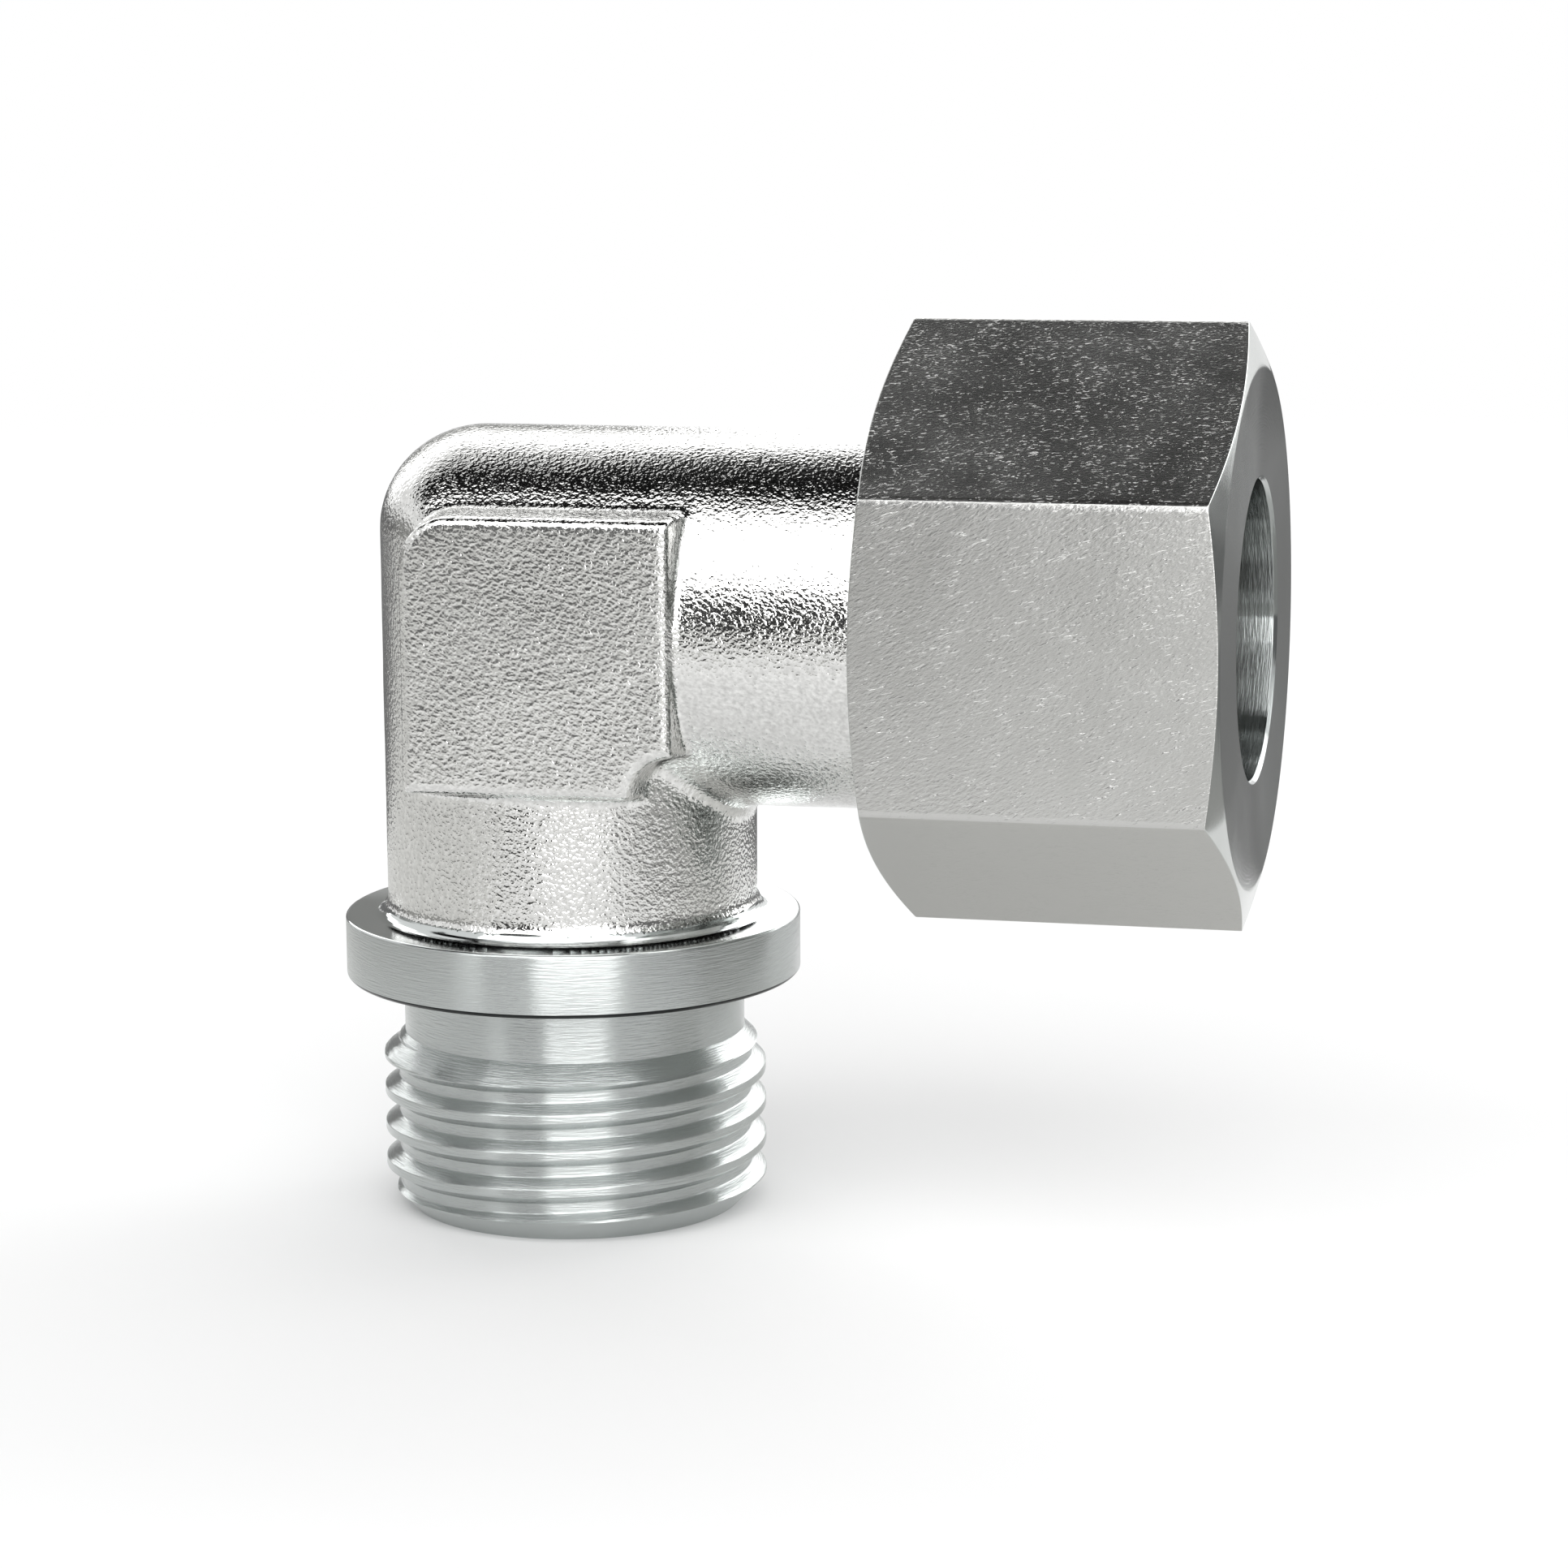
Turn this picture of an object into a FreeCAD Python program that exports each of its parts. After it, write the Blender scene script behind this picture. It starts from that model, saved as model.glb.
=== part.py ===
# Elbow compression fitting: a forged steel body with a male stud below and a tube
# connection to the side, closed by a union nut with a cutting ring inside it.
# Millimetres and degrees. The stud axis is Z and the tube axis runs along +X. The
# origin is the middle of the collar's sealing face, where the fitting meets its port.

import FreeCAD, Part
import math
import os
import re
import Sketcher

from FreeCAD import Vector

# Driving dimensions: name, value, meaning

SIZES = [
    # the tube, and the body's end that takes it
    ("tube_diameter", 20.0, "tube that the fitting takes"),
    ("socket_clearance", 0.15, "gap round the tube in its socket, on the radius"),
    ("socket_depth", 10.5, "tube face to the tube's stop"),
    ("tube_stop", 2.0, "step that stops the tube, on the radius"),
    ("cone_rise", 1.45, "cone's mouth beyond the tube, on the radius"),
    ("cone_angle", 24.0, "full angle of the sealing cone"),
    ("body_reach", 36.0, "stud axis to the body's tube face"),
    ("tube_thread_rise", 5.0, "thread's crests beyond the tube, on the radius"),
    ("tube_thread_length", 10.5, "tube-end thread with its lead-in"),
    ("tube_thread_chamfer", 1.2, "lead-in at the tube face"),
    ("tube_thread_shoulder", 1.2, "slope from the arm up to the tube-end thread"),
    # the body's two arms and the corner between them
    ("axis_height", 25.5, "sealing face to the tube axis"),
    ("arm_inset", 2.0, "both forged arms inside the thread's crests, on the radius"),
    ("corner_radius", 7.0, "outer corner of the elbow"),
    ("crotch_radius", 1.2, "inner corner between the arms"),
    ("passage_overrun", 2.0, "how far each passage runs past the other's axis"),
    ("drill_angle", 118.0, "blind end of each passage"),
    # wrench flats, one on each side of the corner
    ("flat_rise", 0.5, "how far each flat stands out from the arms"),
    ("flat_outer_reach", 8.0, "from the elbow's centre to the edges by the outer corner"),
    ("flat_inner_reach", 10.8, "from the elbow's centre to the edges by the crotch"),
    ("flat_round", 3.5, "rounded corner of each flat"),
    ("flat_scoop", 3.0, "hollow corner that clears the crotch"),
    ("flat_draft_angle", 6.0, "draft of the forged walls"),
    ("flat_bevel", 0.3, "bevelled edge of each flat"),
    # collar and male stud
    ("stud_diameter", 27.0, "stud thread over its crests"),
    ("stud_length", 16.5, "sealing face to the stud's end"),
    ("stud_chamfer", 1.85, "lead-in at the stud's end"),
    ("neck_depth", 1.5, "undercut below the thread's crests, on the radius"),
    ("neck_length", 4.0, "straight part of the undercut"),
    ("collar_overhang", 2.5, "collar beyond the thread's crests, on the radius"),
    ("collar_thickness", 4.4, "sealing face to the collar's top"),
    ("collar_rim", 0.25, "broken lower edge of the collar"),
    ("seal_width", 1.2, "raised metal sealing edge round the collar's underside"),
    ("seal_relief", 0.3, "hollow between that edge and the stud"),
    ("passage_chamfer", 0.5, "broken edge of the passage at the stud's end"),
    # union nut
    ("nut_wall", 3.0, "thread's crests to the middle of a flat"),
    ("nut_length", 24.3, "end to end"),
    ("nut_overhang", 12.2, "body's tube face to the nut's outer face"),
    ("nut_face_inset", 0.3, "flat circle of each end, inside the six flats"),
    ("nut_chamfer_angle", 15.0, "end chamfers, measured from the end face"),
    ("nut_edge_radius", 0.35, "softened edges of the hexagon"),
    ("nut_tube_clearance", 0.15, "gap round the tube in the nut, on the radius"),
    ("nut_hole_length", 4.4, "straight hole that the tube passes through"),
    ("nut_hole_chamfer", 0.25, "broken edge of that hole"),
    ("nut_cone_room", 2.0, "wide end of the inner 90 degree cone, beyond the ring"),
    ("nut_entry_chamfer", 0.8, "lead-in of the nut's thread"),
    ("thread_clearance", 0.05, "nut thread over body thread, on the radius"),
    # cutting ring
    ("ring_tube_clearance", 0.1, "gap round the tube in the ring, on the radius"),
    ("ring_entry", 4.2, "how far the ring reaches into the body"),
    ("ring_cone_gap", 0.08, "ring to the body's cone, on the radius"),
    ("ring_nut_gap", 0.08, "ring to the nut's cone, along the axis"),
    ("ring_collar_rise", 0.63, "thick back part of the ring beyond its taper"),
    ("ring_collar_gap", 1.6, "body's tube face to the ring's thick part"),
    ("ring_back_slope", 1.05, "height and length of the 45 degree cone at the back"),
    ("ring_edge_height", 0.15, "cutting edges over the relief between them"),
    ("ring_edge_width", 0.5, "each cutting edge, along the tube"),
    ("ring_edge_spacing", 3.0, "first cutting edge to the second"),
]

# Sizes that follow from the driving ones

DERIVED = [
    ("tube_radius", "tube_diameter / 2"),
    ("passage_radius", "tube_radius - tube_stop"),
    ("drill_point", "passage_radius / tan(drill_angle * 0.5deg)"),
    ("tube_thread_radius", "tube_radius + tube_thread_rise"),
    ("tube_thread_start", "body_reach - tube_thread_length"),
    ("socket_radius", "tube_radius + socket_clearance"),
    ("cone_slope", "tan(cone_angle * 0.5deg)"),
    ("cone_radius", "tube_radius + cone_rise"),
    ("cone_start", "body_reach - (cone_radius - socket_radius) / cone_slope"),
    ("arm_radius", "tube_thread_radius - arm_inset"),
    ("corner_centre", "arm_radius - corner_radius"),
    ("corner_half_chord", "sqrt(arm_radius ^ 2 - corner_centre ^ 2)"),
    ("flat_width", "2 * (arm_radius + flat_rise)"),
    ("flat_depth", "0.6 * arm_radius"),
    ("stud_radius", "stud_diameter / 2"),
    ("neck_radius", "stud_radius - neck_depth"),
    ("collar_radius", "stud_radius + collar_overhang"),
    ("foot_slope", "(collar_radius - arm_radius) / 3"),
    ("seal_radius", "collar_radius - collar_rim - seal_width"),
    ("ring_front", "body_reach - ring_entry"),
    ("ring_radius", "tube_radius + ring_tube_clearance"),
    ("ring_relief_radius", "ring_radius + ring_edge_height"),
    ("ring_cone_radius", "cone_radius - ring_cone_gap"),
    ("ring_tip_radius", "ring_cone_radius - ring_entry * cone_slope"),
    ("ring_collar_radius", "ring_cone_radius + ring_collar_rise"),
    ("ring_collar_start", "body_reach + ring_collar_gap"),
    ("ring_back_radius", "ring_collar_radius - ring_back_slope"),
    ("nut_front", "body_reach + nut_overhang"),
    ("nut_back", "nut_front - nut_length"),
    ("nut_flats", "2 * (tube_thread_radius + nut_wall)"),
    ("nut_corner_radius", "nut_flats / sqrt(3)"),
    ("nut_blank_radius", "nut_corner_radius + 1"),
    ("nut_face_radius", "nut_flats / 2 - nut_face_inset"),
    ("nut_chamfer_depth", "(nut_blank_radius - nut_face_radius) * tan(nut_chamfer_angle * 1deg)"),
    ("nut_thread_radius", "tube_thread_radius + thread_clearance"),
    ("nut_hole_radius", "tube_radius + nut_tube_clearance"),
    ("nut_hole_start", "nut_front - nut_hole_length"),
    ("nut_cone_radius", "ring_collar_radius + nut_cone_room"),
    ("nut_cone_start", "nut_hole_start - (nut_cone_radius - nut_hole_radius)"),
    ("ring_back", "nut_hole_start - (ring_back_radius - nut_hole_radius) - ring_nut_gap"),
]

NAMES = {name for name, *_ in SIZES + DERIVED}

doc = FreeCAD.newDocument("elbow_compression_fitting")


def add_sheet():
    """Write the driving sizes and the ones that follow from them into one sheet."""
    sheet = doc.addObject("Spreadsheet::Sheet", "Sizes")
    row = 0
    for name, value, meaning in SIZES:
        row += 1
        sheet.set(f"A{row}", meaning)
        sheet.set(f"B{row}", str(value))
        sheet.setAlias(f"B{row}", name)
    for name, formula in DERIVED:
        row += 1
        sheet.set(f"A{row}", name.replace("_", " "))
        sheet.set(f"B{row}", "=" + formula)
        sheet.setAlias(f"B{row}", name)
    doc.recompute()
    return sheet


sheet = add_sheet()


def size(name):
    """The present value of one named size."""
    return float(getattr(sheet, name))


def bound(formula):
    """The same formula, as an object outside the sheet has to write it."""

    def from_sheet(word):
        return "Sizes." + word[0] if word[0] in NAMES else word[0]

    return re.sub(r"[a-z_]+", from_sheet, formula)


# Sketches

def origin_plane(body, role):
    """One of the body's own three planes."""
    return next(each for each in body.Origin.OriginFeatures if each.Role == role)


def new_sketch(body, name, role, across="0", up="0", out="0"):
    """A sketch on one of the body's origin planes, shifted by three formulas."""
    sketch = body.newObject("Sketcher::SketchObject", name)
    sketch.AttachmentSupport = [(origin_plane(body, role), "")]
    sketch.MapMode = "FlatFace"
    for letter, formula in zip("xyz", (across, up, out)):
        sketch.setExpression(f"AttachmentOffset.Base.{letter}", bound(formula))
    doc.recompute()
    return sketch


def hold(sketch, kind, geometry, point, formula):
    """Keep one coordinate of a point at a formula, measured from the sketch's origin."""
    value = float(sheet.evalExpression(formula))
    number = sketch.addConstraint(Sketcher.Constraint(kind, -1, 1, geometry, point, value))
    sketch.renameConstraint(number, f"held_{number}")
    sketch.setExpression(f"Constraints.held_{number}", bound(formula))


def outline(sketch, corners):
    """Close an outline through corners given as pairs of formulas. A corner with two more
    formulas starts an arc of less than half a turn about that centre."""

    def place(across, up):
        return Vector(float(sheet.evalExpression(across)), float(sheet.evalExpression(up)), 0)

    first = sketch.GeometryCount
    count = len(corners)
    for number, corner in enumerate(corners):
        start = place(*corner[:2])
        end = place(*corners[(number + 1) % count][:2])
        if len(corner) == 4:
            centre = place(*corner[2:])
            outward = (start + end - centre * 2).normalize()
            middle = centre + outward * start.distanceToPoint(centre)
            sketch.addGeometry(Part.Arc(start, middle, end))
        else:
            sketch.addGeometry(Part.LineSegment(start, end))
    for number, corner in enumerate(corners):
        before = first + (number - 1) % count
        this = first + number
        # an arc that runs clockwise is stored from its far end
        start_of_this = near_end(sketch, this, place(*corner[:2]))
        end_of_before = near_end(sketch, before, place(*corner[:2]))
        sketch.addConstraint(Sketcher.Constraint("Coincident", before, end_of_before, this, start_of_this))
        hold(sketch, "DistanceX", this, start_of_this, corner[0])
        hold(sketch, "DistanceY", this, start_of_this, corner[1])
        if len(corner) == 4:
            hold(sketch, "DistanceX", this, 3, corner[2])


def near_end(sketch, geometry, point):
    """Which end of a line or arc lies at the point: 1 for its start, 2 for its end."""
    start, end = sketch.getPoint(geometry, 1), sketch.getPoint(geometry, 2)
    return 1 if start.distanceToPoint(point) < end.distanceToPoint(point) else 2


# Features

def revolve(body, name, kind, sketch, axis, angle=360):
    """Turn a sketch about one of its own axes: Revolution adds, Groove cuts."""
    feature = body.newObject("PartDesign::" + kind, name)
    feature.Profile = sketch
    feature.ReferenceAxis = (sketch, [axis])
    feature.Angle = angle
    doc.recompute()
    return feature


def ease_edges(body, name, kind, amount, wanted):
    """Fillet or Chamfer the edges of the body's last feature that the test picks."""
    base = body.Tip
    picked = [f"Edge{place}" for place, edge in enumerate(base.Shape.Edges, start=1) if wanted(edge)]
    feature = body.newObject("PartDesign::" + kind, name)
    feature.Base = (base, picked)
    feature.setExpression("Radius" if kind == "Fillet" else "Size", bound(amount))
    doc.recompute()
    return feature


def points_along(edge):
    """A few points that stand for the whole edge."""
    low, high = edge.ParameterRange
    return [edge.valueAt(low + (high - low) * share) for share in (0.02, 0.5, 0.98)]


# The forged body

def add_stub(body):
    """Turned part about the stud axis: stud, undercut, collar and the upright arm."""
    sketch = new_sketch(body, "stub_profile", "XZ_Plane")
    outline(sketch, [
        ("0", "-stud_length"),
        ("stud_radius - stud_chamfer", "-stud_length"),
        ("stud_radius", "stud_chamfer - stud_length"),
        ("stud_radius", "-neck_length - (stud_radius - neck_radius)"),
        ("neck_radius", "-neck_length"),
        ("neck_radius", "seal_relief"),
        ("seal_radius - seal_relief", "seal_relief"),
        ("seal_radius", "0"),
        ("collar_radius - collar_rim", "0"),
        ("collar_radius", "collar_rim"),
        ("collar_radius", "collar_thickness"),
        ("arm_radius", "collar_thickness"),
        ("arm_radius", "axis_height + corner_centre"),
        ("0", "axis_height + corner_centre"),
    ])
    revolve(body, "stub", "Revolution", sketch, "V_Axis")
    collar_top = size("collar_thickness")

    def at_arm_foot(edge):
        return all(
            abs(point.z - collar_top) < 0.01 and math.hypot(point.x, point.y) < size("arm_radius") + 0.01
            for point in points_along(edge)
        )

    ease_edges(body, "arm_foot", "Chamfer", "foot_slope", at_arm_foot)


def add_run(body):
    """Turned part about the tube axis: the lying arm and its threaded end."""
    sketch = new_sketch(body, "run_profile", "XZ_Plane", up="axis_height")
    outline(sketch, [
        ("-corner_centre", "0"),
        ("-corner_centre", "arm_radius"),
        ("tube_thread_start - tube_thread_shoulder", "arm_radius"),
        ("tube_thread_start", "tube_thread_radius"),
        ("body_reach - tube_thread_chamfer", "tube_thread_radius"),
        ("body_reach", "tube_thread_radius - tube_thread_chamfer"),
        ("body_reach", "0"),
    ])
    revolve(body, "run", "Revolution", sketch, "H_Axis")


def add_corner(body):
    """Half of the rounded outer corner: half of the slice that both arms share, swung
    about the slice's own chord."""
    sketch = new_sketch(
        body, "corner_slice", "XY_Plane", across="-corner_centre", out="axis_height + corner_centre"
    )
    outline(sketch, [
        ("0", "0"),
        ("0", "corner_half_chord", "corner_centre", "0"),
        ("-corner_radius", "0"),
    ])
    return revolve(body, "corner", "Revolution", sketch, "V_Axis", angle=90)


def add_flat(body):
    """Raised wrench flat on one side, whose drafted walls sink into the arms."""
    sketch = new_sketch(body, "flat_outline", "XZ_Plane", up="axis_height", out="flat_width / 2")
    outline(sketch, [
        ("-flat_outer_reach", "-flat_inner_reach"),
        ("flat_inner_reach - flat_scoop", "-flat_inner_reach", "flat_inner_reach", "-flat_inner_reach"),
        ("flat_inner_reach", "flat_scoop - flat_inner_reach"),
        ("flat_inner_reach", "flat_outer_reach"),
        (
            "flat_round - flat_outer_reach", "flat_outer_reach",
            "flat_round - flat_outer_reach", "flat_outer_reach - flat_round",
        ),
        ("-flat_outer_reach", "flat_outer_reach - flat_round"),
    ])
    flat = body.newObject("PartDesign::Pad", "flat")
    flat.Profile = sketch
    flat.Reversed = True
    flat.setExpression("Length", bound("flat_depth"))
    flat.setExpression("TaperAngle", bound("flat_draft_angle"))
    doc.recompute()
    return flat


def mirror_side(body, features):
    """The same half corner and wrench flat on the other side."""
    mirrored = body.newObject("PartDesign::Mirrored", "other_side")
    mirrored.Originals = features
    mirrored.MirrorPlane = (origin_plane(body, "XZ_Plane"), [""])
    body.Tip = mirrored
    doc.recompute()


def soften_forging(body):
    """Hollow the crotch between the arms and bevel the edges of the wrench flats."""
    axis_height = size("axis_height")
    flat_side = size("flat_width") / 2

    def in_crotch(edge):
        return all(
            abs(point.x + point.z - axis_height) < 0.01 and point.x > 0 and abs(point.y) < flat_side - 0.01
            for point in points_along(edge)
        )

    def on_flat(edge):
        return all(abs(abs(point.y) - flat_side) < 0.001 for point in points_along(edge))

    ease_edges(body, "crotch", "Fillet", "crotch_radius", in_crotch)
    ease_edges(body, "flat_edges", "Chamfer", "flat_bevel", on_flat)


def bore_passages(body):
    """Drill up through the stud, then in along the tube axis with the socket and the cone."""
    upright = new_sketch(body, "upright_passage_profile", "XZ_Plane")
    outline(upright, [
        ("0", "-stud_length"),
        ("passage_radius + passage_chamfer", "-stud_length"),
        ("passage_radius", "passage_chamfer - stud_length"),
        ("passage_radius", "axis_height + passage_overrun"),
        ("0", "axis_height + passage_overrun + drill_point"),
    ])
    revolve(body, "upright_passage", "Groove", upright, "V_Axis")
    lying = new_sketch(body, "tube_socket_profile", "XZ_Plane", up="axis_height")
    outline(lying, [
        ("-passage_overrun - drill_point", "0"),
        ("-passage_overrun", "passage_radius"),
        ("body_reach - socket_depth", "passage_radius"),
        ("body_reach - socket_depth", "socket_radius"),
        ("cone_start", "socket_radius"),
        ("body_reach", "cone_radius"),
        ("body_reach", "0"),
    ])
    revolve(body, "tube_socket", "Groove", lying, "H_Axis")


def make_elbow_body():
    """One forging, turned and drilled afterwards."""
    body = doc.addObject("PartDesign::Body", "elbow_body")
    add_stub(body)
    add_run(body)
    mirror_side(body, [add_corner(body), add_flat(body)])
    soften_forging(body)
    bore_passages(body)
    return body


# The union nut

def make_union_nut():
    """Hexagon with flats towards +Y and -Y, chamfered at both ends, hollow inside."""
    body = doc.addObject("PartDesign::Body", "union_nut")
    hexagon = new_sketch(body, "hexagon", "YZ_Plane", up="axis_height", out="nut_back")
    outline(hexagon, [
        ("0", "nut_corner_radius"),
        ("-nut_flats / 2", "nut_corner_radius / 2"),
        ("-nut_flats / 2", "-nut_corner_radius / 2"),
        ("0", "-nut_corner_radius"),
        ("nut_flats / 2", "-nut_corner_radius / 2"),
        ("nut_flats / 2", "nut_corner_radius / 2"),
    ])
    bar = body.newObject("PartDesign::Pad", "bar")
    bar.Profile = hexagon
    bar.setExpression("Length", bound("nut_length"))
    doc.recompute()

    def along_tube(edge):
        return abs(edge.tangentAt(edge.FirstParameter).x) > 0.99

    ease_edges(body, "bar_edges", "Fillet", "nut_edge_radius", along_tube)
    chamfers = new_sketch(body, "chamfer_profile", "XZ_Plane", up="axis_height")
    outline(chamfers, [
        ("nut_back", "nut_face_radius"),
        ("nut_back", "nut_blank_radius"),
        ("nut_back + nut_chamfer_depth", "nut_blank_radius"),
    ])
    outline(chamfers, [
        ("nut_front", "nut_face_radius"),
        ("nut_front", "nut_blank_radius"),
        ("nut_front - nut_chamfer_depth", "nut_blank_radius"),
    ])
    revolve(body, "end_chamfers", "Groove", chamfers, "H_Axis")
    inside = new_sketch(body, "nut_bore_profile", "XZ_Plane", up="axis_height")
    outline(inside, [
        ("nut_back", "0"),
        ("nut_back", "nut_thread_radius + nut_entry_chamfer"),
        ("nut_back + nut_entry_chamfer", "nut_thread_radius"),
        ("nut_cone_start", "nut_thread_radius"),
        ("nut_cone_start", "nut_cone_radius"),
        ("nut_hole_start", "nut_hole_radius"),
        ("nut_front - nut_hole_chamfer", "nut_hole_radius"),
        ("nut_front", "nut_hole_radius + nut_hole_chamfer"),
        ("nut_front", "0"),
    ])
    revolve(body, "nut_bore", "Groove", inside, "H_Axis")
    return body


# The cutting ring

def make_cutting_ring():
    """Turned ring: a taper that enters the body's cone, two cutting edges inside it and
    a thick back that the nut's inner cone pushes on."""
    body = doc.addObject("PartDesign::Body", "cutting_ring")
    profile = new_sketch(body, "ring_profile", "XZ_Plane", up="axis_height")
    outline(profile, [
        ("ring_front", "ring_radius"),
        ("ring_front", "ring_tip_radius"),
        ("body_reach", "ring_cone_radius"),
        ("ring_collar_start - (ring_collar_radius - ring_cone_radius)", "ring_cone_radius"),
        ("ring_collar_start", "ring_collar_radius"),
        ("ring_back - ring_back_slope", "ring_collar_radius"),
        ("ring_back", "ring_back_radius"),
        ("ring_back", "ring_radius"),
        ("ring_collar_start", "ring_radius"),
        ("ring_collar_start - ring_edge_height", "ring_relief_radius"),
        ("ring_front + ring_edge_spacing + ring_edge_width + ring_edge_height", "ring_relief_radius"),
        ("ring_front + ring_edge_spacing + ring_edge_width", "ring_radius"),
        ("ring_front + ring_edge_spacing", "ring_radius"),
        ("ring_front + ring_edge_spacing", "ring_relief_radius"),
        ("ring_front + ring_edge_width + ring_edge_height", "ring_relief_radius"),
        ("ring_front + ring_edge_width", "ring_radius"),
    ])
    revolve(body, "ring", "Revolution", profile, "H_Axis")
    return body


# Checks and files

def check(pieces):
    """Stop at a failed feature, a cut that took nothing away or a broken solid."""
    for each in doc.Objects:
        if "Invalid" in each.State or "Error" in each.State:
            raise RuntimeError(f"{each.Name} failed")
        if each.TypeId == "PartDesign::Groove":
            removed = each.BaseFeature.Shape.Volume - each.Shape.Volume
            if removed < 0.001:
                raise RuntimeError(f"{each.Name} cuts nothing")
    for piece in pieces:
        if piece.Shape.isNull() or not piece.Shape.isValid() or len(piece.Shape.Solids) != 1:
            raise RuntimeError(f"{piece.Label} is not one sound solid")


pieces = [make_elbow_body(), make_union_nut(), make_cutting_ring()]
doc.recompute()
check(pieces)
os.makedirs("parts", exist_ok=True)
for piece in pieces:
    piece.Shape.exportStep(f"parts/{piece.Label}.step")
    print(piece.Label, round(piece.Shape.Volume), "cubic mm")
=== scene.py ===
import math

import bmesh
import bpy
import numpy as np
from mathutils import Matrix, Vector, noise


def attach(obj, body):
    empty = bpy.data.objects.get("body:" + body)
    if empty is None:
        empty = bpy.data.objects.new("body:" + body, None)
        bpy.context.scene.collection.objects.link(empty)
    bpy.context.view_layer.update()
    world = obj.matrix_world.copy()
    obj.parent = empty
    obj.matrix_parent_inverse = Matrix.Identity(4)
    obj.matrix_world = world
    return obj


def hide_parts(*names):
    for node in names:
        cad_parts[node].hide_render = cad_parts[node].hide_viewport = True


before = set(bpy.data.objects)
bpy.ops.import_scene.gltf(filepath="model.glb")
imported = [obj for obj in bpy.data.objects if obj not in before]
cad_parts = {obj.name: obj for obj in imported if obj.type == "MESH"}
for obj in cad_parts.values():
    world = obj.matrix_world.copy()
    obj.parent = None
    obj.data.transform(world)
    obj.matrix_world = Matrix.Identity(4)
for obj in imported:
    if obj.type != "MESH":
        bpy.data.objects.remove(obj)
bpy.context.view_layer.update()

# Forged elbow: both arms, the corner between them and the two wrench flats. Steel, pressed
# hot in a die, trimmed, shot-blasted and zinc-plated, so it has soft edges and a pebbled
# skin. The stud, the tube end and the passages are cut from it afterwards.

MM = 0.001
SKIN_START = 5.2 * MM     # the forged skin begins above the turned hollow on the collar
SKIN_END = 24.1 * MM      # and stops at the slope up to the tube-end thread
SKIN_LOW = 4.6 * MM       # it melts with a little to spare at both ends, and is trimmed then
SKIN_FAR = 24.25 * MM
SKIN_GRID = 0.24 * MM
SKIN_WAVE = 0.03 * MM     # unevenness left by the die, in long waves and weaker short ones
LONG_WAVE = 5 * MM
SHORT_WAVE = 1.6 * MM
FLAT_SKIN = 13.3 * MM     # the wrench flats lie farther than this from the middle
WELD = 0.001 * MM
BODY_ZINC = "#DADAD8"
# painted shade in the pebbles' pits, and a painted highlight on their tops
PIT_SHADE_ZINC = "#B6B6B4"
PEBBLE_HIGHLIGHT_ZINC = "#F6F6F4"


def colour(code):
    """A web colour as the linear values that a shader wants."""
    parts = [int(code[place:place + 2], 16) / 255 for place in (1, 3, 5)]
    linear = [part / 12.92 if part <= 0.04045 else ((part + 0.055) / 1.055) ** 2.4 for part in parts]
    return linear + [1]


def add_node(material, kind, inputs=(), **settings):
    """Add a node, set it up, and fill its inputs with values or with other nodes' outputs."""
    tree = material.node_tree
    node = tree.nodes.new(kind)
    for name, value in settings.items():
        setattr(node, name, value)
    for place, value in dict(inputs).items():
        if isinstance(value, bpy.types.NodeSocket):
            tree.links.new(value, node.inputs[place])
        else:
            node.inputs[place].default_value = value
    return node


def blank_material(name, view_colour):
    """A material with an empty node tree."""
    material = bpy.data.materials.new(name)
    material.use_nodes = True
    material.node_tree.nodes.clear()
    material.diffuse_color = colour(view_colour)
    return material


def metal(material, tone, height, depth, roughness, **more):
    """Finish a bare metal: its bump, its roughness and the surface they go on."""
    bump = add_node(material, "ShaderNodeBump", {"Height": height, "Strength": 1.0, "Distance": depth})
    inputs = {
        "Base Color": tone, "Metallic": 1.0, "Roughness": roughness, "Normal": bump.outputs["Normal"],
    }
    inputs.update(more)
    shader = add_node(material, "ShaderNodeBsdfPrincipled", inputs)
    add_node(material, "ShaderNodeOutputMaterial", {"Surface": shader.outputs["BSDF"]})
    return material


def slanted(material, angle, stretch):
    """Coordinates that draw a pattern out along a line that slopes in side view."""
    place = add_node(material, "ShaderNodeTexCoord").outputs["Object"]
    turned = add_node(material, "ShaderNodeMapping", {
        "Vector": place, "Rotation": (0, math.radians(angle), 0), "Scale": (stretch, 1, 1),
    }, vector_type="TEXTURE")
    return place, turned.outputs["Vector"]


def cloudy(material, place, width, low, high):
    """A value that drifts between two others over a width in metres."""
    cloud = add_node(material, "ShaderNodeTexNoise", {
        "Vector": place, "Scale": 1 / width, "Detail": 2.0,
    })
    # nearly all of the noise lies between 0.3 and 0.7
    drift = add_node(material, "ShaderNodeMapRange", {
        "Value": cloud.outputs["Fac"], "From Min": 0.3, "From Max": 0.7, "To Min": low, "To Max": high,
    })
    return drift.outputs["Result"]


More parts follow.
